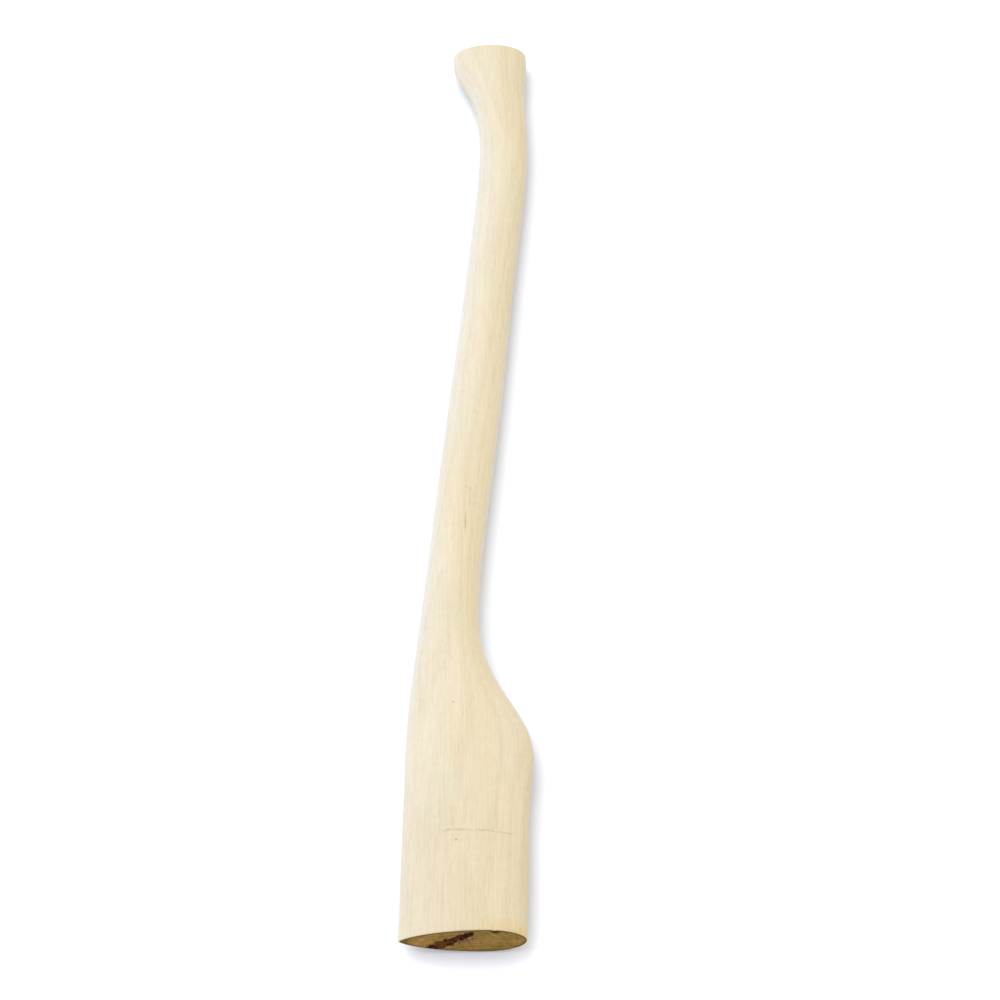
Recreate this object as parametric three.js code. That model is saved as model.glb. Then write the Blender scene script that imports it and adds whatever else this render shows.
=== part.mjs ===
// The haft of a broad axe: one piece of pale hardwood, a long swan-necked handle.
// Millimetres. The haft lies on its flat side on z = 0. +Y runs along the haft from the
// sawn eye end to the knob, -X is the bit (front) side and +X is the poll (back) side.
import * as THREE from 'three';

// ---- Driving dimensions ----
const HAFT_LENGTH = 914; // 36 inches from the sawn eye end to the end of the knob
const EYE_THICKNESS = 26; // the tongue, where it is sawn off
const SWELL_THICKNESS = 28; // the thickest places: the shoulder and the knob
const GRIP_THICKNESS = 25;
const ARRIS = 0.8; // the eased edge round the sawn eye end
const KNOB_EDGE_RADIUS = 4; // the rounded edge round the end of the knob

// How finely the surface is laid out.
const POINTS_AROUND = 36;
const RING_SPACING = 16;
const FINE_RING_SPACING = 8;
const KNOB_EDGE_RINGS = 4;

// Distances along the haft, from the sawn eye end.
const SHOULDER_START = 145;
const SHOULDER_END = 175;
const THROAT = 290;
const GRIP_START = 420;
const GRIP_END = 740;
const TOE_START = 820;
const KNOB_FULL = 875;

// The side pattern of the haft: distance along it, and offset from the straight line
// through the middles of its two ends.
const FRONT_EDGE = [
  [0, -41.5], // eye end
  [60, -42],
  [120, -42.5],
  [175, -42.5], // shoulder
  [250, -38],
  [400, -28.5], // belly
  [560, -17.5],
  [700, -8.5],
  [765, -5.5], // neck
  [815, -7.5],
  [845, -13],
  [866, -20.5],
  [880, -26.5], // toe
  [893, -30.5],
  [HAFT_LENGTH, -31],
];
const BACK_EDGE = [
  [0, 41.5], // eye end
  [70, 42],
  [110, 42.5],
  [140, 44.5], // shoulder
  [163, 41.5],
  [200, 23.5],
  [225, 12.5],
  [252, 6],
  [285, 4.5], // throat
  [400, 11.5],
  [560, 22],
  [700, 31],
  [765, 34.5], // back of the neck
  [825, 33],
  [857, 31.5], // hollow above the heel
  [887, 32.5], // heel
  [HAFT_LENGTH, 31.5],
];

// ---- Smooth lines ----

// A natural cubic spline through the points: it bends as an even batten would.
function smoothLine(points) {
  const last = points.length - 1;
  const step = [];
  const slope = [];
  for (let i = 0; i < last; i++) {
    step.push(points[i + 1][0] - points[i][0]);
    slope.push((points[i + 1][1] - points[i][1]) / step[i]);
  }
  // The bend (second derivative) at each point, by elimination along the line.
  const bend = new Array(last + 1).fill(0);
  const carry = new Array(last + 1).fill(0);
  for (let i = 1; i < last; i++) {
    const pivot = 2 * (step[i - 1] + step[i]) - step[i - 1] * carry[i - 1];
    carry[i] = step[i] / pivot;
    bend[i] = (6 * (slope[i] - slope[i - 1]) - step[i - 1] * bend[i - 1]) / pivot;
  }
  for (let i = last - 1; i > 0; i--) {
    bend[i] -= carry[i] * bend[i + 1];
  }
  return (y) => {
    let i = 0;
    while (i < last - 1 && y > points[i + 1][0]) {
      i++;
    }
    const t = (y - points[i][0]) / step[i];
    const s = 1 - t;
    const straight = s * points[i][1] + t * points[i + 1][1];
    const curve = (s ** 3 - s) * bend[i] + (t ** 3 - t) * bend[i + 1];
    return straight + (curve * step[i] ** 2) / 6;
  };
}

const frontEdge = smoothLine(FRONT_EDGE);
const backEdge = smoothLine(BACK_EDGE);

// Goes smoothly from one value to another between two distances along the haft.
function ease(y, start, end, from, to) {
  return THREE.MathUtils.lerp(from, to, THREE.MathUtils.smootherstep(y, start, end));
}

function thickness(y) {
  const eyeToShoulder = ease(y, 0, SHOULDER_START, EYE_THICKNESS, SWELL_THICKNESS);
  const shoulderToGrip = ease(y, SHOULDER_END, GRIP_START, 0, SWELL_THICKNESS - GRIP_THICKNESS);
  const gripToKnob = ease(y, GRIP_END, KNOB_FULL, 0, SWELL_THICKNESS - GRIP_THICKNESS);
  return eyeToShoulder - shoulderToGrip + gripToKnob;
}

// ---- The cross section ----

// The tongue is a teardrop, pointed at the bit side and round at the poll side, with its
// thickest line two thirds of the way back. The grip is an oval with its sides a little flat.
const EYE_CROWN = 0.67; // where the thickest line lies, as a fraction of the width
const SHOULDER_CROWN = 0.56;
const GRIP_CROWN = 0.5;
const EYE_POINT = 1.4; // 1 is an ellipse, more is more pointed, less is fuller
const GRIP_POINT = 0.9;
const KNOB_POINT = 1.1;

function crownFraction(y) {
  const atShoulder = ease(y, 0, SHOULDER_START, EYE_CROWN, SHOULDER_CROWN);
  return atShoulder + ease(y, SHOULDER_END, THROAT, 0, GRIP_CROWN - SHOULDER_CROWN);
}

function pointedness(y, atEye) {
  const atGrip = ease(y, 0, THROAT, atEye, GRIP_POINT);
  return atGrip + ease(y, TOE_START, KNOB_FULL, 0, KNOB_POINT - GRIP_POINT);
}

// One ring of points round the haft at distance y, drawn in from the full size by inset.
function ring(y, inset) {
  const front = frontEdge(y);
  const back = backEdge(y);
  const crown = THREE.MathUtils.lerp(front, back, crownFraction(y));
  const halfThickness = thickness(y) / 2 - inset;
  const points = [];
  for (let i = 0; i < POINTS_AROUND; i++) {
    const angle = (2 * Math.PI * i) / POINTS_AROUND;
    const towardBack = Math.cos(angle) > 0;
    const reach = (towardBack ? back - crown : crown - front) - inset;
    const power = pointedness(y, towardBack ? 1 : EYE_POINT);
    const rise = Math.sign(Math.sin(angle)) * Math.abs(Math.sin(angle)) ** power;
    points.push(new THREE.Vector3(crown + reach * Math.cos(angle), y, halfThickness * rise));
  }
  return points;
}

// ---- The haft ----

function bodyStations() {
  const stations = [];
  let y = ARRIS;
  const bodyEnd = HAFT_LENGTH - KNOB_EDGE_RADIUS;
  while (y < bodyEnd) {
    stations.push(y);
    const curved = (y > SHOULDER_START && y < THROAT) || y > TOE_START;
    y += curved ? FINE_RING_SPACING : RING_SPACING;
  }
  return stations;
}

function haftRings() {
  const rings = [ring(0, ARRIS)];
  for (const y of bodyStations()) {
    rings.push(ring(y, 0));
  }
  for (let i = 0; i <= KNOB_EDGE_RINGS; i++) {
    const angle = (Math.PI / 2) * (i / KNOB_EDGE_RINGS);
    const y = HAFT_LENGTH - KNOB_EDGE_RADIUS * (1 - Math.sin(angle));
    rings.push(ring(y, KNOB_EDGE_RADIUS * (1 - Math.cos(angle))));
  }
  return rings;
}

// A closed skin over a row of rings, with a flat fan over the ring at each end.
function skinOver(rings) {
  const vertices = rings.flat();
  const triangles = [];
  for (let r = 0; r < rings.length - 1; r++) {
    for (let i = 0; i < POINTS_AROUND; i++) {
      const here = r * POINTS_AROUND + i;
      const beside = r * POINTS_AROUND + ((i + 1) % POINTS_AROUND);
      triangles.push(here, beside + POINTS_AROUND, beside);
      triangles.push(here, here + POINTS_AROUND, beside + POINTS_AROUND);
    }
  }
  for (const [first, facesBack] of [[0, true], [(rings.length - 1) * POINTS_AROUND, false]]) {
    const middle = vertices.length;
    const opposite = first + POINTS_AROUND / 2;
    vertices.push(vertices[first].clone().lerp(vertices[opposite], 0.5));
    for (let i = 0; i < POINTS_AROUND; i++) {
      const here = first + i;
      const beside = first + ((i + 1) % POINTS_AROUND);
      triangles.push(middle, ...(facesBack ? [here, beside] : [beside, here]));
    }
  }
  const geometry = new THREE.BufferGeometry().setFromPoints(vertices);
  geometry.setIndex(triangles);
  geometry.computeVertexNormals();
  return geometry;
}

function makeHaft() {
  const wood = new THREE.MeshStandardMaterial({ color: 0xeadbb9, roughness: 0.62, metalness: 0 });
  const haft = new THREE.Mesh(skinOver(haftRings()), wood);
  haft.name = 'haft';
  return haft;
}

// The haft is set down with the middle of its box over the origin and its lowest line on z = 0.
function setDown(mesh) {
  mesh.geometry.computeBoundingBox();
  const box = mesh.geometry.boundingBox;
  const middle = box.getCenter(new THREE.Vector3());
  mesh.geometry.translate(-middle.x, -middle.y, -box.min.z);
}

const broadAxeHaft = new THREE.Group();
const haft = makeHaft();
setDown(haft);
broadAxeHaft.add(haft);

export default broadAxeHaft;
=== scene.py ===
"""The looks of a broad axe haft: one piece of pale, straight-grained hardwood, sanded and left
unfinished, lying on its side on a white floor. The fine skin made here has the shape and size of
the CAD haft. Shape and grain are worked out in millimetres, and the mesh is in metres."""

import math

import bpy
import numpy as np
from mathutils import Matrix, Vector


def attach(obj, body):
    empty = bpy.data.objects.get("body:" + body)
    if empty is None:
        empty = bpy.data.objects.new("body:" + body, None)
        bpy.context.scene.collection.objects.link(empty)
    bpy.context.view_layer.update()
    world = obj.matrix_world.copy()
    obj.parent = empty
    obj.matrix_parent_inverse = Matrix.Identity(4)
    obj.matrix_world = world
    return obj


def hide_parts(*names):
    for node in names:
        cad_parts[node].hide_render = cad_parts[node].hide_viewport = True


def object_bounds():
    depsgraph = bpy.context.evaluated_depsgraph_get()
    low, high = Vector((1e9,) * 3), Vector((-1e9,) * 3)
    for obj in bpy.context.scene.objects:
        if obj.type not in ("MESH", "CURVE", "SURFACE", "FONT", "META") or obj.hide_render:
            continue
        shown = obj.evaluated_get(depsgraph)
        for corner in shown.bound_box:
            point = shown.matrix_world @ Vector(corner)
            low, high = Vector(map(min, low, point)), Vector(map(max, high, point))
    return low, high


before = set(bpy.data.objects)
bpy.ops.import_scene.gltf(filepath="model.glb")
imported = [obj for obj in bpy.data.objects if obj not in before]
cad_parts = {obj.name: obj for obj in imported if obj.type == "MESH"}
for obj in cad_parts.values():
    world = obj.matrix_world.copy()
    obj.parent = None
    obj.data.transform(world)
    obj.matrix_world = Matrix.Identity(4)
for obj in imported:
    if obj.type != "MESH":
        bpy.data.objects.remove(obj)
CAD_LOW, CAD_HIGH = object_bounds()

MM = 0.001

# ---- Driving dimensions in millimetres, as in the CAD haft ----
HAFT_LENGTH = (CAD_HIGH.y - CAD_LOW.y) / MM
EYE_THICKNESS = 26.0
SWELL_THICKNESS = (CAD_HIGH.z - CAD_LOW.z) / MM
GRIP_THICKNESS = 25.0
ARRIS = 0.8
KNOB_EDGE_RADIUS = 4.0

# Distances along the haft, from the sawn eye end.
SHOULDER_START = 145.0
SHOULDER_END = 175.0
THROAT = 290.0
GRIP_START = 420.0
GRIP_END = 740.0
TOE_START = 820.0
KNOB_FULL = 875.0

# The side pattern: distance along the haft, and offset from the line through its ends.
FRONT_EDGE = [
    (0, -41.5), (60, -42), (120, -42.5), (175, -42.5), (250, -38), (400, -28.5), (560, -17.5),
    (700, -8.5), (765, -5.5), (815, -7.5), (845, -13), (866, -20.5), (880, -26.5), (893, -30.5),
    (HAFT_LENGTH, -31),
]
BACK_EDGE = [
    (0, 41.5), (70, 42), (110, 42.5), (140, 44.5), (163, 41.5), (200, 23.5), (225, 12.5),
    (252, 6), (285, 4.5), (400, 11.5), (560, 22), (700, 31), (765, 34.5), (825, 33),
    (857, 31.5), (887, 32.5), (HAFT_LENGTH, 31.5),
]

# The cross section: where its thickest line lies, as a share of the width, and how pointed it is
# (1 is an ellipse, more is more pointed, less is fuller).
EYE_CROWN = 0.67
SHOULDER_CROWN = 0.56
GRIP_CROWN = 0.5
EYE_POINT = 1.4
GRIP_POINT = 0.9
KNOB_POINT = 1.1

# The haft's material slots.
SIDE, EYE_END, KNOB_END = 0, 1, 2

# How finely the skin is laid out.
POINTS_AROUND = 152
RING_SPACING = 1.7
EDGE_RINGS = 7
CAP_ROWS = 40

# Marks in the wood. Places are across the haft, along it from the eye end, and above the floor.
EYE_WIDTH = BACK_EDGE[0][1] - FRONT_EDGE[0][1]
STREAK_MIDDLE = (-0.098 * EYE_WIDTH, 0.54 * EYE_THICKNESS)  # a bark pocket across the eye end
STREAK_LENGTH = 0.40 * EYE_WIDTH
STREAK_WIDTH = 5.0
STREAK_DEPTH = 0.6
STREAK_TURN = math.radians(31.5)
CHIP_PLACE = 0.235 * EYE_WIDTH  # a nick in the upper arris of the eye end
CHIP_WIDTH = 5.0
CHIP_DEPTH = 0.5

# The dips left by the belt sander: how deep they are, and how many millimetres one radian of
# each wave takes. They fade out toward both ends.
LONG_DIP = 0.07
LONG_WAVES = (31.0, 47.0)
SHORT_DIP = 0.025
SHORT_WAVES = (11.0, 17.0)
DIP_STARTS = (0.0, 25.0)
DIP_ENDS = (890.0, 905.0)
SIDEWAYS_SHARE = 0.15  # the skin sinks mostly up or down, and this little across the haft


# ---- Smooth lines ----

def smooth_line(points):
    """A natural cubic spline through the points, as a function of distance along the haft."""
    at = np.array([p[0] for p in points], float)
    value = np.array([p[1] for p in points], float)
    step = np.diff(at)
    slope = np.diff(value) / step
    count = len(at)
    system = np.eye(count)
    target = np.zeros(count)
    for i in range(1, count - 1):
        system[i, i - 1:i + 2] = step[i - 1], 2 * (step[i - 1] + step[i]), step[i]
        target[i] = 6 * (slope[i] - slope[i - 1])
    bend = np.linalg.solve(system, target)

    def line(y):
        i = np.clip(np.searchsorted(at, y) - 1, 0, count - 2)
        t = (y - at[i]) / step[i]
        s = 1 - t
        curve = (s ** 3 - s) * bend[i] + (t ** 3 - t) * bend[i + 1]
        return s * value[i] + t * value[i + 1] + curve * step[i] ** 2 / 6

    return line


front_edge = smooth_line(FRONT_EDGE)
back_edge = smooth_line(BACK_EDGE)


def ease(y, start, end, low, high):
    """Goes smoothly from low to high between two distances along the haft."""
    t = np.clip((y - start) / (end - start), 0, 1)
    return low + (high - low) * t ** 3 * (t * (6 * t - 15) + 10)


def thickness(y):
    thinning = SWELL_THICKNESS - GRIP_THICKNESS
    eye_to_shoulder = ease(y, 0, SHOULDER_START, EYE_THICKNESS, SWELL_THICKNESS)
    to_grip = ease(y, SHOULDER_END, GRIP_START, 0, thinning)
    to_knob = ease(y, GRIP_END, KNOB_FULL, 0, thinning)
    return eye_to_shoulder - to_grip + to_knob


def crown_share(y):
    at_shoulder = ease(y, 0, SHOULDER_START, EYE_CROWN, SHOULDER_CROWN)
    return at_shoulder + ease(y, SHOULDER_END, THROAT, 0, GRIP_CROWN - SHOULDER_CROWN)


def pointedness(y, at_eye):
    at_grip = ease(y, 0, THROAT, at_eye, GRIP_POINT)
    return at_grip + ease(y, TOE_START, KNOB_FULL, 0, KNOB_POINT - GRIP_POINT)


# ---- The skin ----

def ring_places():
    """Rows of (distance along the haft, how far the ring is drawn in there)."""
    turns = np.linspace(0, math.pi / 2, EDGE_RINGS)
    eye_edge = [(ARRIS * (1 - math.sin(a)), ARRIS * (1 - math.cos(a))) for a in turns[::-1]]
    knob_start = HAFT_LENGTH - KNOB_EDGE_RADIUS
    rings = round((knob_start - ARRIS) / RING_SPACING)
    body = [(y, 0) for y in np.linspace(ARRIS, knob_start, rings)[1:-1]]
    knob_edge = [
        (knob_start + KNOB_EDGE_RADIUS * math.sin(a), KNOB_EDGE_RADIUS * (1 - math.cos(a)))
        for a in turns
    ]
    return np.array(eye_edge + body + knob_edge)


def skin_points():
    """The haft's side as an array of rings of points, before it is set down."""
    along, drawn_in = ring_places().T[:, :, None]
    angle = np.linspace(0, 2 * math.pi, POINTS_AROUND, endpoint=False)[None, :]
    front, back = front_edge(along), back_edge(along)
    crown = front + crown_share(along) * (back - front)
    toward_back = np.cos(angle) > 0
    reach = np.where(toward_back, back - crown, crown - front) - drawn_in
    power = np.where(toward_back, pointedness(along, 1.0), pointedness(along, EYE_POINT))
    half = thickness(along) / 2 - drawn_in
    x = crown + reach * np.cos(angle)
    z = half * np.sign(np.sin(angle)) * np.abs(np.sin(angle)) ** power
    return np.stack([x, np.broadcast_to(along, x.shape), z], axis=-1)


def sanding_waves(points):
    """How far, in millimetres, the belt sander has dipped below the true shape at each point."""
    x, y, z = np.moveaxis(points, -1, 0)
    around = np.arctan2(z, x - (front_edge(y) + back_edge(y)) / 2)
    long_wave = np.sin(y / LONG_WAVES[0] + 2 * around) * np.sin(y / LONG_WAVES[1] - around + 1.3)
    short_wave = np.sin(y / SHORT_WAVES[0] + 3 * around + 0.7) * np.sin(y / SHORT_WAVES[1] + 2.1)
    return LONG_DIP * (1.3 + long_wave) + SHORT_DIP * (1 + short_wave)


def sink(points):
    """Moves the skin's points inwards, towards the middle of their own ring."""
    middle = points.mean(axis=1, keepdims=True)
    inward = middle - points
    inward[..., 0] *= SIDEWAYS_SHARE
    inward[..., 1] = 0
    length = np.linalg.norm(inward, axis=-1, keepdims=True)
    along = points[..., 1]
    away_from_ends = ease(along, *DIP_STARTS, 0, 1) * ease(along, *DIP_ENDS, 1, 0)
    depth = sanding_waves(points) * away_from_ends
    return points + inward / length * depth[..., None]


def set_down(points):
    """Shifts the true shape to where the CAD haft lies: over the middle line, on the floor."""
    true_side = skin_points()[..., 0]
    middle = (true_side.min() + true_side.max()) / 2
    return points + np.array([-middle, 0, SWELL_THICKNESS / 2])


def nick(points):
    """Sinks the upper arris of the eye end where a splinter has come away."""
    x, along, z = np.moveaxis(points, -1, 0)
    off = np.clip(np.abs(x - CHIP_PLACE) / (CHIP_WIDTH / 2), 0, 1)
    away = np.clip(along / CHIP_WIDTH, 0, 1)
    depth = CHIP_DEPTH * (1 - off ** 2) * (1 - away) * (z > SWELL_THICKNESS / 2)
    return points - depth[..., None] * np.array([0, 0, 1])


def pocket(points):
    """Sinks the eye end's points into the wood along the bark streak."""
    offset = points[..., [0, 2]] - np.array(STREAK_MIDDLE)
    turn_cos, turn_sin = math.cos(STREAK_TURN), math.sin(STREAK_TURN)
    along = offset[..., 0] * turn_cos + offset[..., 1] * turn_sin
    across = offset[..., 1] * turn_cos - offset[..., 0] * turn_sin
    reach = np.hypot(along / (STREAK_LENGTH / 2), across / (STREAK_WIDTH / 2))
    points[..., 1] += STREAK_DEPTH * (1 - np.clip(reach, 0, 1) ** 2)
    return points


def cap_rows(ring, share):
    """Points across the inside of an end ring: one column for each pair of points with one x."""
    half = POINTS_AROUND // 2
    upper = ring[1:half]
    lower = ring[:half:-1]
    return lower[None] + (upper - lower)[None] * share[:, None, None]


def distance_to(ring, row):
    """How far each point of a row is from the nearest point of the ring."""
    return np.linalg.norm(row[:, None] - ring[None], axis=-1).min(axis=1)


class MeshLists:
    """The vertices and faces of one mesh while it is being made."""

    def __init__(self):
        self.vertices = []
        self.from_rim = []
        self.faces = []
        self.material = []

    def add_points(self, points, from_rim=None):
        first = len(self.vertices)
        self.vertices.extend(map(tuple, points))
        self.from_rim.extend([0.0] * len(points) if from_rim is None else from_rim)
        return list(range(first, len(self.vertices)))

    def add_faces(self, faces, material):
        self.faces.extend(faces)
        self.material.extend([material] * len(faces))


def add_side(lists, rings):
    grid = [lists.add_points(ring) for ring in rings]
    faces = []
    for near, far in zip(grid, grid[1:]):
        for i in range(POINTS_AROUND):
            j = (i + 1) % POINTS_AROUND
            faces.append((near[i], far[i], far[j], near[j]))
    lists.add_faces(faces, SIDE)
    return grid[0], grid[-1]


def add_cap(lists, ring, edge, material):
    """Closes an end with a grid of small faces between the upper and lower halves of its ring."""
    half = POINTS_AROUND // 2
    share = np.linspace(0, 1, CAP_ROWS + 1)[1:-1]
    points = cap_rows(ring, share)
    if material == EYE_END:
        points = pocket(points)
    inner = [lists.add_points(row, distance_to(ring, row)) for row in points]
    rows = [edge[:half:-1]] + inner + [edge[1:half]]
    faces = []
    for below, above in zip(rows, rows[1:]):
        columns = len(below)
        for i in range(columns - 1):
            faces.append((below[i], below[i + 1], above[i + 1], above[i]))
        faces.append((edge[0], below[0], above[0]))
        faces.append((below[columns - 1], edge[half], above[columns - 1]))
    if material == EYE_END:
        faces = [face[::-1] for face in faces]
    lists.add_faces(faces, material)


def build_haft():
    rings = nick(set_down(sink(skin_points())))
    lists = MeshLists()
    eye_edge, knob_edge = add_side(lists, rings)
    add_cap(lists, rings[0], eye_edge, EYE_END)
    add_cap(lists, rings[-1], knob_edge, KNOB_END)
    vertices = np.array(lists.vertices) - np.array([0, HAFT_LENGTH / 2, 0])
    mesh = bpy.data.meshes.new("haft_wood")
    mesh.from_pydata((vertices * MM).tolist(), [], lists.faces)
    mesh.polygons.foreach_set("use_smooth", [True] * len(lists.faces))
    mesh.polygons.foreach_set("material_index", lists.material)
    mesh.validate()
    mesh.update()
    from_rim = mesh.attributes.new("from_rim", "FLOAT", "POINT")
    from_rim.data.foreach_set("value", lists.from_rim)
    haft = bpy.data.objects.new("haft_wood", mesh)
    bpy.context.scene.collection.objects.link(haft)
    return haft


# ---- Shader nodes by short names ----

MARK_REACH = 1.1  # a mark has faded out at this share of its size


class Nodes:
    """Makes and joins the shader nodes of one material."""

    def __init__(self, tree):
        self.tree = tree

    def feed(self, socket, value):
        if isinstance(value, bpy.types.NodeSocket):
            self.tree.links.new(value, socket)
        else:
            socket.default_value = value

    def add(self, kind, inputs, **settings):
        node = self.tree.nodes.new(kind)
        for name, value in settings.items():
            setattr(node, name, value)
        for name, value in inputs.items():
            self.feed(node.inputs[name], value)
        return node

    def maths(self, operation, a, b=0.0):
        return self.add("ShaderNodeMath", {0: a, 1: b}, operation=operation).outputs[0]

    def times(self, a, b):
        return self.maths("MULTIPLY", a, b)

    def total(self, *terms):
        """The sum of several values."""
        result = terms[0]
        for term in terms[1:]:
            result = self.maths("ADD", result, term)
        return result

    def either(self, *masks):
        """The strongest of several masks."""
        strongest = masks[0]
        for mask in masks[1:]:
            strongest = self.maths("MAXIMUM", strongest, mask)
        return strongest

    def scaled(self, place, factors):
        inputs = {0: place, 1: factors}
        return self.add("ShaderNodeVectorMath", inputs, operation="MULTIPLY").outputs["Vector"]

    def length(self, place):
        inputs = {0: place}
        return self.add("ShaderNodeVectorMath", inputs, operation="LENGTH").outputs["Value"]

    def ramp(self, value, low, high, to_low=0.0, to_high=1.0):
        """Goes smoothly from to_low to to_high as value goes from low to high."""
        inputs = {
            "Value": value,
            "From Min": low,
            "From Max": high,
            "To Min": to_low,
            "To Max": to_high,
        }
        node = self.add("ShaderNodeMapRange", inputs, interpolation_type="SMOOTHSTEP")
        return node.outputs["Result"]

    def noise(self, place, across, along, detail=2.0, roughness=0.5):
        """Noise whose features are so many millimetres across and along the grain."""
        squeezed = self.scaled(place, (1 / across, 1 / along, 1 / across))
        inputs = {"Vector": squeezed, "Scale": 1.0, "Detail": detail, "Roughness": roughness}
        return self.add("ShaderNodeTexNoise", inputs).outputs[0]

    def mark(self, place, middle, half, turn=(0, 0, 0), ragged=0.0, grain=1.0, solid=0.7):
        """1 inside an oval mark with these half lengths and 0 outside it, with a ragged edge. It
        fades from this solid share of its size outwards."""
        inputs = {"Vector": place, "Location": middle, "Rotation": turn, "Scale": half}
        local = self.add("ShaderNodeMapping", inputs, vector_type="TEXTURE").outputs["Vector"]
        rough = self.times(self.noise(place, grain, grain, detail=3.0), ragged)
        reach = self.total(self.length(local), rough)
        return self.ramp(reach, solid + ragged / 2, MARK_REACH + ragged / 2, 1.0, 0.0)

    def mix(self, share, a, b, blend="MIX"):
        inputs = {0: share, 6: a, 7: b}
        return self.add("ShaderNodeMix", inputs, data_type="RGBA", blend_type=blend).outputs[2]

    def tinted(self, share, colour, tint):
        """The colour, with this share of it seen through the tint."""
        return self.mix(share, colour, self.mix(1.0, colour, tint, "MULTIPLY"))


# ---- Wood ----

RING_WIDTH = 2.4  # between one year's growth and the next
RING_RISE = 0.12  # the share of a year's growth in which the early wood sets in
RING_FALL = 0.6  # and the share at which it has given way to late wood
BROAD_WARP = 9.0  # how far the rings stray from true circles
CLOSE_WARP = 1.6
PITH = (16.0, -78.0)  # the heart of the tree, across and below the haft
GRAIN_YAW = math.radians(1.3)  # how far the grain runs out of line with the haft
GRAIN_PITCH = math.radians(0.4)

PALE = (0.58, 0.495, 0.356, 1)
WARM = (0.572, 0.474, 0.312, 1)
GREENISH = (0.555, 0.497, 0.332, 1)
MOST_GREENISH = 0.6
TONGUE_WARMTH = 0.25  # the tongue and the knob are a little warmer than the grip
KNOB_WARMTH = 0.13
SANDED_END = (0.52, 0.43, 0.29, 1)
SANDED_END_WARM = (0.46, 0.355, 0.215, 1)

# Painted light by which way the surface faces: the front is a little paler and the back a little
# warmer.
FRONT_PAINTED_LIGHT = (0.985, 1.035, 1.22, 1)
BACK_PAINTED_LIGHT = (1.06, 1.02, 0.905, 1)
FRONT_RIM_PAINTED_HIGHLIGHT = (1.01, 1.05, 1.16, 1)  # a painted highlight, palest of all along the upper front edge
FLANK_PAINTED_SHADE = (0.98, 0.97, 0.94, 1)  # painted shade on the front's own side, below that edge
BACK_RIM_PAINTED_HIGHLIGHT = (1.04, 1.07, 1.12, 1)  # a painted highlight: the back of the grip's lower half is a little paler
BACK_RIM_START = 190.0
BACK_RIM_END = 620.0
EYE_END_TINT = (1.0, 0.93, 0.76, 1)  # a yellow edge at the back of the sawn end

# How much light each feature of the grain takes away, or gives back where it is below zero.
RING_SHADE = 0.035
PORE_SHADE = 0.065
DASH_SHADE = 0.045
FIBRE_SHADE = (-0.032, 0.04)
HAIR_SHADE = (-0.02, 0.02)
RIPPLE_SHADE = (-0.012, 0.012)
EYE_SHADE = 0.075  # the tongue is a little darker toward its sawn end
EYE_SHADE_END = 230.0
END_RING_SHADE = 0.10
END_PORE_SHADE = 0.30
END_PORE_SPACING = 0.55

# Small marks on the upper side. Each one has its place across and along the haft, its half width
# and half length, its turn from the grain in degrees, and the solid share of its size.
PINHOLES = ((-6.3, 69.8, 0.9, 1.2, 0, 0.7), (-11.4, 182.9, 0.8, 1.1, 0, 0.7))
CHECK = (-7.2, 350, 0.95, 13, 1.0, 0.1)
TEARS = (
    (-7.2, 385, 1.1, 3.0, 30, 0.2),
    (-4.8, 382, 1.3, 4.0, -14, 0.2),
    (-4.4, 370, 0.8, 10, 0, 0.2),
)
TEAR_STRENGTH = 0.45
SMALL_MARK_STRENGTH = 0.75
MARK = (0.62, 0.56, 0.42, 1)  # what a mark leaves of the wood's own colour

# The scratch across the tongue.
SCRATCH_ALONG = 72.5
SCRATCH_SLOPE = -0.05
SCRATCH_WANDER = 9.0
SCRATCH_MIDDLE = (8, 77)
SCRATCH_REACH = (27, 12)
SCRATCH_STRENGTH = 0.5


def haft_place(nodes):
    """The place in millimetres: across the haft, along it from the eye end, above the floor."""
    place = nodes.add("ShaderNodeTexCoord", {}).outputs["Object"]
    inputs = {"Vector": place, "Location": (0, HAFT_LENGTH / 2, 0), "Scale": (1 / MM,) * 3}
    return nodes.add("ShaderNodeMapping", inputs).outputs["Vector"]


def grain_place(nodes, place):
    """The same place turned so that Y runs along the grain."""
    inputs = {"Vector": place, "Rotation": (GRAIN_PITCH, 0, -GRAIN_YAW)}
    return nodes.add("ShaderNodeMapping", inputs).outputs["Vector"]


def split(nodes, place):
    return nodes.add("ShaderNodeSeparateXYZ", {"Vector": place}).outputs


def growth_rings(nodes, grain):
    """0 in the pale late wood of each ring and 1 in its open-pored early wood."""
    x, _, z = split(nodes, grain)
    across = nodes.maths("SUBTRACT", x, PITH[0])
    depth = nodes.maths("SUBTRACT", z, PITH[1])
    radius = nodes.length(nodes.add("ShaderNodeCombineXYZ", {"X": across, "Y": depth}).outputs[0])
    broad = nodes.times(nodes.noise(grain, across=55, along=1100, detail=1.0), BROAD_WARP)
    close = nodes.times(nodes.noise(grain, across=12, along=260, detail=1.0), CLOSE_WARP)
    years = nodes.maths("DIVIDE", nodes.total(broad, close, radius), RING_WIDTH)
    phase = nodes.maths("FRACT", years)
    rise = nodes.ramp(phase, 0.0, RING_RISE)
    fall = nodes.ramp(phase, RING_RISE, RING_FALL, 1.0, 0.0)
    return nodes.times(rise, fall)


def pores(nodes, grain, across, along, fullness):
    """Short dashes along the grain, one in each cell of the given size."""
    squeezed = nodes.scaled(grain, (1 / across, 1 / along, 1 / across))
    cells = nodes.add("ShaderNodeTexVoronoi", {"Vector": squeezed, "Scale": 1.0})
    return nodes.ramp(cells.outputs["Distance"], fullness * 0.4, fullness, 1.0, 0.0)


def darken(nodes, colour, shade):
    """Takes a share of the light away, most of it blue, as shadow in wood does."""
    light = nodes.maths("SUBTRACT", 1.0, shade)
    green = nodes.maths("POWER", light, 1.15)
    blue = nodes.maths("POWER", light, 1.6)
    tint = nodes.add("ShaderNodeCombineColor", {0: light, 1: green, 2: blue}).outputs[0]
    return nodes.mix(1.0, colour, tint, "MULTIPLY")


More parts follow.
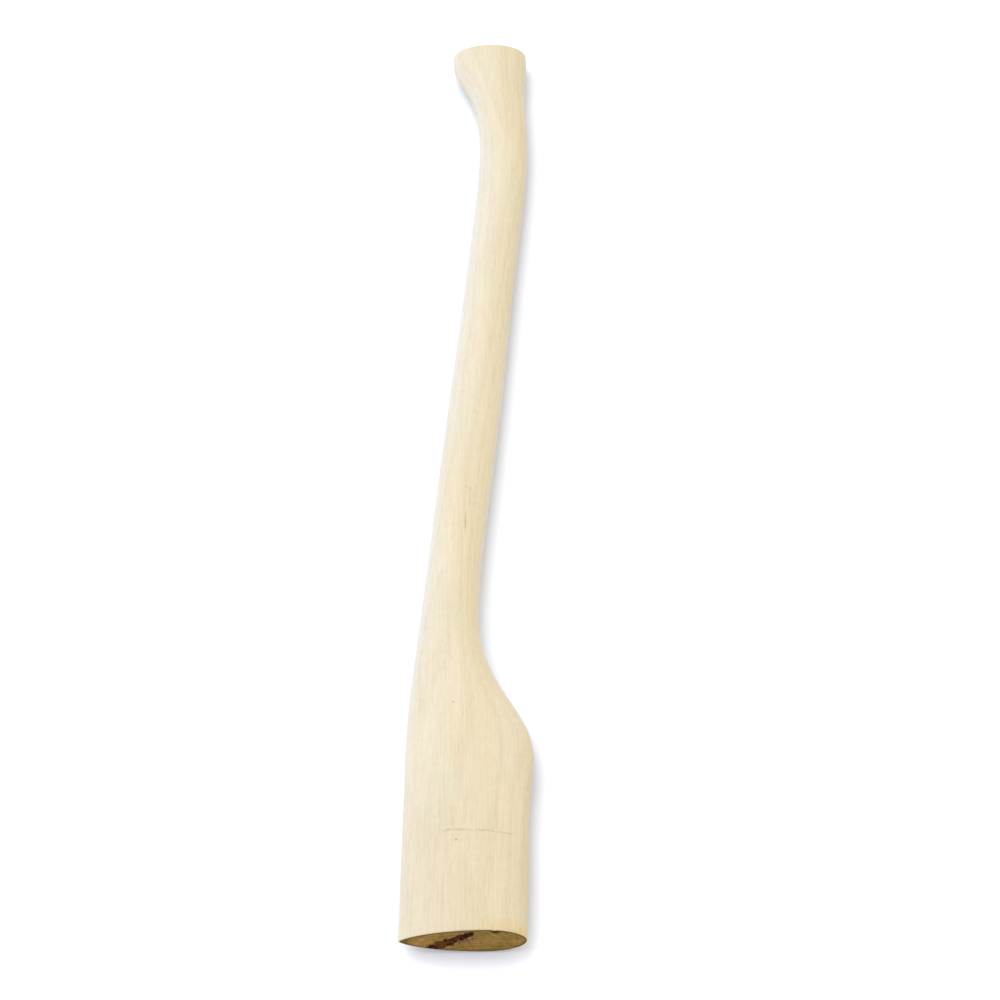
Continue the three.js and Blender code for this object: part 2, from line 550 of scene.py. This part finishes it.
def sanded_end_colour(nodes, place, rings):
    """Pale end grain: a fine row of pores at the start of each ring."""
    blotch = nodes.noise(place, across=12, along=12)
    inputs = {"Vector": place, "Scale": 1 / END_PORE_SPACING}
    specks = nodes.add("ShaderNodeTexVoronoi", inputs).outputs["Distance"]
    pore = nodes.ramp(specks, 0.22, 0.42, 1.0, 0.0)
    in_ring = nodes.times(pore, nodes.ramp(rings, 0.1, 0.6, 0.25, 1.0))
    colour = nodes.mix(nodes.ramp(blotch, 0.35, 0.65), SANDED_END, SANDED_END_WARM)
    shade = nodes.total(nodes.times(rings, END_RING_SHADE), nodes.times(in_ring, END_PORE_SHADE))
    return darken(nodes, colour, shade)


def scratch(nodes, place):
    """A faint broken line right across the upper face of the tongue."""
    x, along, _ = split(nodes, place)
    wobble = nodes.noise(place, across=6, along=5000, detail=5.0, roughness=0.85)
    line = nodes.total(nodes.times(x, SCRATCH_SLOPE), nodes.times(wobble, SCRATCH_WANDER))
    from_place = nodes.maths("SUBTRACT", along, SCRATCH_ALONG)
    off = nodes.maths("ABSOLUTE", nodes.maths("SUBTRACT", from_place, line))
    thickening = nodes.noise(place, across=3, along=5000, detail=1.0)
    width = nodes.ramp(thickening, 0.35, 0.7, 0.6, 1.5)
    thin = nodes.ramp(nodes.maths("DIVIDE", off, width), 0.35, 1.0, 1.0, 0.0)
    gaps = nodes.noise(place, across=3.7, along=4000, detail=1.0)
    broken = nodes.ramp(gaps, 0.36, 0.54, 0.35, 1.0)
    middle = (*SCRATCH_MIDDLE, SWELL_THICKNESS)
    within = nodes.mark(place, middle, (*SCRATCH_REACH, SWELL_THICKNESS / 2))
    return nodes.times(nodes.times(thin, broken), within)


def small_marks(nodes, place):
    """Two pinholes, by the tongue and the shoulder, and a check with tears beside it."""
    def upper_mark(x, along, half_width, half_length, turn, solid):
        middle = (x, along, SWELL_THICKNESS)
        half = (half_width, half_length, SWELL_THICKNESS / 2)
        return nodes.mark(place, middle, half, (0, 0, math.radians(turn)), solid=solid)

    clear = [upper_mark(*mark) for mark in (*PINHOLES, CHECK)]
    tears = [upper_mark(*mark) for mark in TEARS]
    return nodes.either(*clear, nodes.times(nodes.either(*tears), TEAR_STRENGTH))


def toward_front(nodes, x):
    """1 from the front to the middle of the tongue, falling off toward its back."""
    return nodes.ramp(x, 0.0, 25.0, 1.0, 0.4)


def side_colour(nodes, place, grain):
    """Pale wood, drifting slowly between a paler, a warmer and a greener tone."""
    x, along, _ = split(nodes, place)
    drift = nodes.noise(grain, across=30, along=240)
    hue = nodes.noise(grain, across=24, along=70, detail=1.0)
    tongue = nodes.ramp(along, SHOULDER_START, THROAT, TONGUE_WARMTH, 0.0)
    by_tongue = nodes.times(tongue, toward_front(nodes, x))
    by_knob = nodes.ramp(along, GRIP_END, TOE_START, 0.0, KNOB_WARMTH)
    added_warmth = nodes.total(by_tongue, by_knob)
    warmth = nodes.ramp(nodes.total(drift, added_warmth), 0.3, 0.75)
    greenness = nodes.ramp(hue, 0.5, 0.75, 0.0, MOST_GREENISH)
    return nodes.mix(greenness, nodes.mix(warmth, PALE, WARM), GREENISH)


def eye_shade(nodes, place):
    """How much darker the tongue is toward its sawn end, less so at the front rim."""
    x, along, _ = split(nodes, place)
    by_end = nodes.ramp(along, 0, EYE_SHADE_END, EYE_SHADE, 0.0)
    off_rim = nodes.ramp(x, -41, -22, 0.2, 1.0)
    return nodes.times(nodes.times(by_end, toward_front(nodes, x)), off_rim)


def add_painted_light_and_end_tint(nodes, place, colour):
    """Paints light and shade by facing and place along the haft; yellows the back edge by the
    sawn end.
    """
    x, along, _ = split(nodes, place)
    facing = nodes.add("ShaderNodeNewGeometry", {}).outputs["Normal"]
    to_back, _, to_top = split(nodes, facing)
    faces_up = nodes.ramp(to_top, 0.05, 0.65)
    # Painted light and shade: paler on the upper front, darker on the front flank, warmer on the
    # back.
    painted_front_and_flank = nodes.mix(faces_up, FLANK_PAINTED_SHADE, FRONT_PAINTED_LIGHT)
    tint = nodes.mix(nodes.ramp(to_back, -1, 1), painted_front_and_flank, BACK_PAINTED_LIGHT)
    colour = nodes.mix(1.0, colour, tint, "MULTIPLY")
    # Painted highlight along the upper front edge.
    upper_front_highlight = nodes.times(nodes.ramp(to_back, -1.0, -0.4, 1.0, 0.0), faces_up)
    colour = nodes.tinted(upper_front_highlight, colour, FRONT_RIM_PAINTED_HIGHLIGHT)
    # Painted highlight on the back of the grip.
    rim_sets_in = nodes.ramp(along, BACK_RIM_START, BACK_RIM_START + 100)
    rim_fades = nodes.ramp(along, BACK_RIM_END - 140, BACK_RIM_END, 1.0, 0.0)
    back_grip_highlight = nodes.times(nodes.times(nodes.ramp(to_back, 0.35, 0.75), rim_sets_in), rim_fades)
    colour = nodes.tinted(back_grip_highlight, colour, BACK_RIM_PAINTED_HIGHLIGHT)
    by_eye_end = nodes.times(nodes.ramp(along, 2, 12, 1.0, 0.0), nodes.ramp(x, 0, 25))
    return nodes.tinted(by_eye_end, colour, EYE_END_TINT)


def side_material():
    """The long grain: dashes and fibres along the haft over faint growth rings."""
    material = bpy.data.materials.new("haft_side")
    material.use_nodes = True
    nodes = Nodes(material.node_tree)
    shader = material.node_tree.nodes["Principled BSDF"]
    place = haft_place(nodes)
    grain = grain_place(nodes, place)
    rings = growth_rings(nodes, grain)
    dashes = pores(nodes, grain, across=1.6, along=15, fullness=0.32)
    fine_dashes = pores(nodes, grain, across=1.0, along=9, fullness=0.34)
    fibres = nodes.noise(grain, across=1.1, along=40, detail=4.0, roughness=0.65)
    hairs = nodes.noise(grain, across=0.28, along=14)
    ripple = nodes.noise(grain, across=8, along=3)

    open_pores = nodes.times(dashes, nodes.ramp(rings, 0.0, 0.6, 0.45, 1.0))
    shade = nodes.total(
        nodes.times(rings, RING_SHADE),
        nodes.times(open_pores, PORE_SHADE),
        nodes.times(fine_dashes, DASH_SHADE),
        nodes.ramp(fibres, 0.32, 0.68, *FIBRE_SHADE),
        nodes.ramp(hairs, 0.3, 0.7, *HAIR_SHADE),
        nodes.ramp(ripple, 0.3, 0.7, *RIPPLE_SHADE),
        eye_shade(nodes, place),
    )
    colour = darken(nodes, side_colour(nodes, place, grain), shade)
    # Painted light and shade by which way the surface faces.
    colour = add_painted_light_and_end_tint(nodes, place, colour)
    to_end = split(nodes, nodes.add("ShaderNodeNewGeometry", {}).outputs["Normal"])[1]
    sanded_end = sanded_end_colour(nodes, place, rings)
    colour = nodes.mix(nodes.ramp(to_end, 0.45, 0.98), colour, sanded_end)
    line = nodes.times(scratch(nodes, place), SCRATCH_STRENGTH)
    marks = nodes.either(line, nodes.times(small_marks(nodes, place), SMALL_MARK_STRENGTH))
    colour = nodes.tinted(marks, colour, MARK)

    nodes.feed(shader.inputs["Base Color"], colour)
    nodes.feed(shader.inputs["Roughness"], nodes.ramp(fibres, 0.3, 0.7, 0.50, 0.62))
    shader.inputs["Specular IOR Level"].default_value = 0.45
    shader.inputs["Sheen Weight"].default_value = 0.28
    shader.inputs["Sheen Roughness"].default_value = 0.5
    shader.inputs["Sheen Tint"].default_value = (0.85, 0.95, 1.0, 1)
    hollows = nodes.times(nodes.either(dashes, marks), -0.7)
    inputs = {"Height": nodes.total(hollows, fibres), "Strength": 0.35, "Distance": 0.06 * MM}
    bump = nodes.add("ShaderNodeBump", inputs)
    nodes.feed(shader.inputs["Normal"], bump.outputs["Normal"])
    return material


# ---- End grain ----

OLIVE = (0.20, 0.132, 0.028, 1)
BROWN = (0.30, 0.168, 0.050, 1)
ORANGE = (0.33, 0.175, 0.045, 1)
DARK_RIM = (0.075, 0.045, 0.013, 1)
VIOLET = (0.24, 0.135, 0.075, 1)
BARK = (0.022, 0.004, 0.001, 1)
BARK_PALE = (0.12, 0.045, 0.010, 1)
CHIP_DARK = (0.05, 0.030, 0.008, 1)

# Patches on the sawn eye end: each one's middle across and above the floor, then its half width
# and half height.
ORANGE_PATCH = (-0.32 * EYE_WIDTH, 0.45 * EYE_THICKNESS, 9, 6)
STAIN = (-0.005 * EYE_WIDTH, 0.56 * EYE_THICKNESS, 9.5, 3.6)
CHIP_SHADOW = (
    CHIP_PLACE + 0.2 * CHIP_WIDTH, (EYE_THICKNESS + SWELL_THICKNESS) / 2, 0.8 * CHIP_WIDTH, 6.0,
)
BACK_TIP = (0.5 * EYE_WIDTH, SWELL_THICKNESS / 2, 3.5, 5)
FRONT_TIP = (-0.5 * EYE_WIDTH, SWELL_THICKNESS / 2, 6.0, 6)
PATCH_DEPTH = 5  # how far a patch reaches along the haft
RIM_WIDTH = 2.0
RIM_STRENGTH = 0.8
END_MOTTLE_SHADE = (-0.22, 0.26)
EYE_RING_SHADE = 0.16
SAW_LINE_SHADE = 0.08
KNOB_LINE_SHADE = 0.03
SAW_LINE_TURN = math.radians(14)
SAW_LINE_SIZE = (40, 1, 0.9)

# Each blot's place along the streak and its half length, as shares of half the streak's length,
# its half width as a share of the streak's width, and how worn and pale it is.
STREAK_BLOTS = (
    (-0.86, 0.26, 1.00, 0.0), (-0.52, 0.26, 1.00, 0.9), (-0.17, 0.28, 0.95, 0.1),
    (0.14, 0.26, 0.65, 0.4), (0.44, 0.32, 0.72, 0.0), (0.78, 0.30, 0.60, 0.0),
)
BLOT_DEPTH = 3


def rough_end(name):
    """A dull material for sawn end grain: its nodes, its shader, and the place in the haft."""
    material = bpy.data.materials.new(name)
    material.use_nodes = True
    nodes = Nodes(material.node_tree)
    shader = material.node_tree.nodes["Principled BSDF"]
    shader.inputs["Roughness"].default_value = 0.8
    shader.inputs["Specular IOR Level"].default_value = 0.03
    return material, nodes, shader, haft_place(nodes)


def saw_lines(nodes, place):
    """Fine, slightly slanting lines left by the saw."""
    inputs = {"Vector": place, "Rotation": (0, SAW_LINE_TURN, 0)}
    turned = nodes.add("ShaderNodeMapping", inputs).outputs["Vector"]
    squeezed = nodes.scaled(turned, tuple(1 / size for size in SAW_LINE_SIZE))
    inputs = {"Vector": squeezed, "Scale": 1.0, "Detail": 3.0}
    return nodes.add("ShaderNodeTexNoise", inputs).outputs[0]


def finish_end(nodes, shader, colour, height):
    nodes.feed(shader.inputs["Base Color"], colour)
    inputs = {"Height": height, "Strength": 0.5, "Distance": 0.1 * MM}
    bump = nodes.add("ShaderNodeBump", inputs)
    nodes.feed(shader.inputs["Normal"], bump.outputs["Normal"])


def bark_streak(nodes, place):
    """The bark pocket, ragged blots in a slanting row: where it is, and where it is worn pale."""
    x, z = STREAK_MIDDLE
    step_x = STREAK_LENGTH / 2 * math.cos(STREAK_TURN)
    step_z = STREAK_LENGTH / 2 * math.sin(STREAK_TURN)
    blots = []
    worn_blots = []
    for share, half_length, half_width, worn in STREAK_BLOTS:
        middle = (x + share * step_x, 0, z + share * step_z)
        half = (half_length * STREAK_LENGTH / 2, BLOT_DEPTH, half_width * STREAK_WIDTH)
        turn = (0, -STREAK_TURN, 0)
        blot = nodes.mark(place, middle, half, turn, ragged=1.3, grain=1.6)
        blots.append(blot)
        worn_blots.append(nodes.times(blot, worn))
    return nodes.either(*blots), nodes.either(*worn_blots)


def end_patch(nodes, place, patch, ragged, turn=0.0):
    """A ragged patch of the sawn end, given as its middle and its half sizes."""
    x, z, half_width, half_height = patch
    half = (half_width, PATCH_DEPTH, half_height)
    return nodes.mark(place, (x, 0, z), half, (0, turn, 0), ragged=ragged)


def eye_end_material():
    """Dark weathered end grain with a bark pocket, a violet stain and a darker rim."""
    material, nodes, shader, place = rough_end("haft_eye_end")
    rings = growth_rings(nodes, grain_place(nodes, place))
    flattened = nodes.scaled(place, (0.32, 1, 1))
    blotch = nodes.noise(flattened, across=5, along=5, detail=3.0, roughness=0.7)
    mottle = nodes.noise(flattened, across=1.3, along=1.3, detail=4.0, roughness=0.7)
    lines = saw_lines(nodes, place)

    colour = nodes.mix(nodes.ramp(blotch, 0.38, 0.62), OLIVE, BROWN)
    orange = nodes.times(end_patch(nodes, place, ORANGE_PATCH, ragged=0.8), 0.75)
    colour = nodes.mix(orange, colour, ORANGE)
    shade = nodes.total(
        nodes.ramp(mottle, 0.36, 0.64, *END_MOTTLE_SHADE),
        nodes.times(rings, EYE_RING_SHADE),
        nodes.ramp(lines, 0.3, 0.7, -SAW_LINE_SHADE, SAW_LINE_SHADE),
    )
    colour = darken(nodes, colour, shade)

    stain = end_patch(nodes, place, STAIN, ragged=1.6, turn=-STREAK_TURN / 2)
    colour = nodes.mix(nodes.times(stain, 0.75), colour, VIOLET)
    specks = nodes.ramp(nodes.noise(place, across=1.2, along=1.2), 0.50, 0.60)
    colour = nodes.mix(nodes.times(nodes.times(stain, specks), 0.9), colour, BARK)
    to_rim = nodes.add("ShaderNodeAttribute", {}, attribute_name="from_rim").outputs["Fac"]
    rim = nodes.ramp(to_rim, 0.3, RIM_WIDTH, RIM_STRENGTH, 0.0)
    back_tip = end_patch(nodes, place, BACK_TIP, ragged=0.6)
    front_tip = end_patch(nodes, place, FRONT_TIP, ragged=0.6)
    tips = nodes.times(nodes.either(back_tip, front_tip), 0.6)
    colour = nodes.mix(nodes.either(rim, tips), colour, DARK_RIM)
    chip = end_patch(nodes, place, CHIP_SHADOW, ragged=0.5)
    colour = nodes.mix(nodes.times(chip, 0.95), colour, CHIP_DARK)
    streak, worn = bark_streak(nodes, place)
    flecks = nodes.times(nodes.ramp(mottle, 0.47, 0.68), 0.8)
    broken = nodes.times(worn, nodes.ramp(mottle, 0.36, 0.56))
    bark = nodes.mix(nodes.either(flecks, broken), BARK, BARK_PALE)
    colour = nodes.mix(streak, colour, bark)

    finish_end(nodes, shader, colour, nodes.total(lines, nodes.times(streak, -1.5)))
    return material


def knob_end_material():
    """Fresher sawn end grain with its rings showing, in the same colours as the rounded edge."""
    material, nodes, shader, place = rough_end("haft_knob_end")
    lines = saw_lines(nodes, place)
    rings = growth_rings(nodes, grain_place(nodes, place))
    colour = sanded_end_colour(nodes, place, rings)
    shade = nodes.ramp(lines, 0.3, 0.7, -KNOB_LINE_SHADE, KNOB_LINE_SHADE)
    finish_end(nodes, shader, darken(nodes, colour, shade), lines)
    return material


# ---- The setting ----

FLOOR_REACH = 30.0  # metres from the middle to each side
FLOOR_PAPER = (0.845, 0.855, 0.92, 1)
LAMP_STRENGTH = 1.35
LAMP_WIDTH = math.radians(50)
LAMP_COLOUR = (1.0, 0.985, 0.955)
TOWARD_LAMP = (-0.40, 0.32, 1.0)
SKY_LEFT = (1.07, 1.15, 1.28, 1)  # the even light, cooler and stronger on the left
SKY_RIGHT = (1.17, 1.15, 1.07, 1)
LOW_LEFT = (1.46, 1.60, 1.79, 1)  # the same light near the floor
LOW_RIGHT = (0.33, 0.32, 0.30, 1)
LOW_LIGHT_TOP = 0.45  # the height, as the sine of its angle, where the light near the floor ends
AIM_ACROSS = 0.183  # where the camera aims, off the middle of the haft, as shares of its box
AIM_ALONG = -0.0678
CAMERA_DISTANCE = 2.1  # in haft lengths
CAMERA_HEADING = math.radians(3.835)
CAMERA_DROP = math.radians(47.08)
CAMERA_ROLL = math.radians(4.0)
SENSOR_WIDTH = 36.0
LENS = 92.86


def make_floor():
    """A wide white floor under the haft, at the height that it rests on."""
    reach = FLOOR_REACH
    corners = [(-reach, -reach, 0), (reach, -reach, 0), (reach, reach, 0), (-reach, reach, 0)]
    mesh = bpy.data.meshes.new("floor")
    mesh.from_pydata(corners, [], [(0, 1, 2, 3)])
    floor = bpy.data.objects.new("floor", mesh)
    floor.location.z = CAD_LOW.z
    bpy.context.scene.collection.objects.link(floor)
    paper = bpy.data.materials.new("floor_paper")
    paper.use_nodes = True
    shader = paper.node_tree.nodes["Principled BSDF"]
    shader.inputs["Base Color"].default_value = FLOOR_PAPER
    shader.inputs["Roughness"].default_value = 0.9
    shader.inputs["Specular IOR Level"].default_value = 0.1
    mesh.materials.append(paper)


def make_light():
    """One broad soft lamp, high on the left and behind, with weak even light from all round."""
    lamp = bpy.data.lights.new("key", "SUN")
    lamp.energy = LAMP_STRENGTH
    lamp.angle = LAMP_WIDTH
    lamp.color = LAMP_COLOUR
    key = bpy.data.objects.new("key", lamp)
    key.rotation_euler = Vector(TOWARD_LAMP).to_track_quat("Z", "Y").to_euler()
    bpy.context.scene.collection.objects.link(key)
    world = bpy.data.worlds.new("studio")
    bpy.context.scene.world = world
    world.use_nodes = True
    nodes = Nodes(world.node_tree)
    background = world.node_tree.nodes["Background"]
    to_right, _, height = split(nodes, nodes.add("ShaderNodeTexCoord", {}).outputs["Generated"])
    side = nodes.ramp(to_right, -1.0, 1.0)
    high = nodes.mix(side, SKY_LEFT, SKY_RIGHT)
    low = nodes.mix(side, LOW_LEFT, LOW_RIGHT)
    tint = nodes.mix(nodes.ramp(height, 0.0, LOW_LIGHT_TOP), low, high)
    seen = nodes.add("ShaderNodeLightPath", {}).outputs["Is Camera Ray"]
    nodes.feed(background.inputs["Color"], nodes.mix(seen, tint, (1, 1, 1, 1)))


def make_camera():
    """Looks down along the haft from its eye end, turned and rolled a little to one side."""
    size = CAD_HIGH - CAD_LOW
    middle = (CAD_LOW + CAD_HIGH) / 2
    aim = Vector((middle.x + AIM_ACROSS * size.x, middle.y + AIM_ALONG * size.y, CAD_LOW.z))
    level = Vector((-math.sin(CAMERA_HEADING), math.cos(CAMERA_HEADING), 0))
    forward = level * math.cos(CAMERA_DROP) - Vector((0, 0, math.sin(CAMERA_DROP)))
    right = Vector((math.cos(CAMERA_HEADING), math.sin(CAMERA_HEADING), 0))
    up = right.cross(forward)
    rolled_right = right * math.cos(CAMERA_ROLL) - up * math.sin(CAMERA_ROLL)
    rolled_up = right * math.sin(CAMERA_ROLL) + up * math.cos(CAMERA_ROLL)
    turn = Matrix((rolled_right, rolled_up, -forward)).transposed()
    place = aim - forward * (CAMERA_DISTANCE * size.y)
    data = bpy.data.cameras.new("camera")
    data.sensor_width = SENSOR_WIDTH
    data.lens = LENS
    camera = bpy.data.objects.new("camera", data)
    camera.matrix_world = Matrix.Translation(place) @ turn.to_4x4()
    bpy.context.scene.collection.objects.link(camera)
    bpy.context.scene.camera = camera


haft = build_haft()
for make_material in (side_material, eye_end_material, knob_end_material):
    haft.data.materials.append(make_material())
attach(haft, "root")
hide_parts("haft")

make_floor()
make_light()
make_camera()
bpy.context.scene.view_settings.view_transform = "Standard"
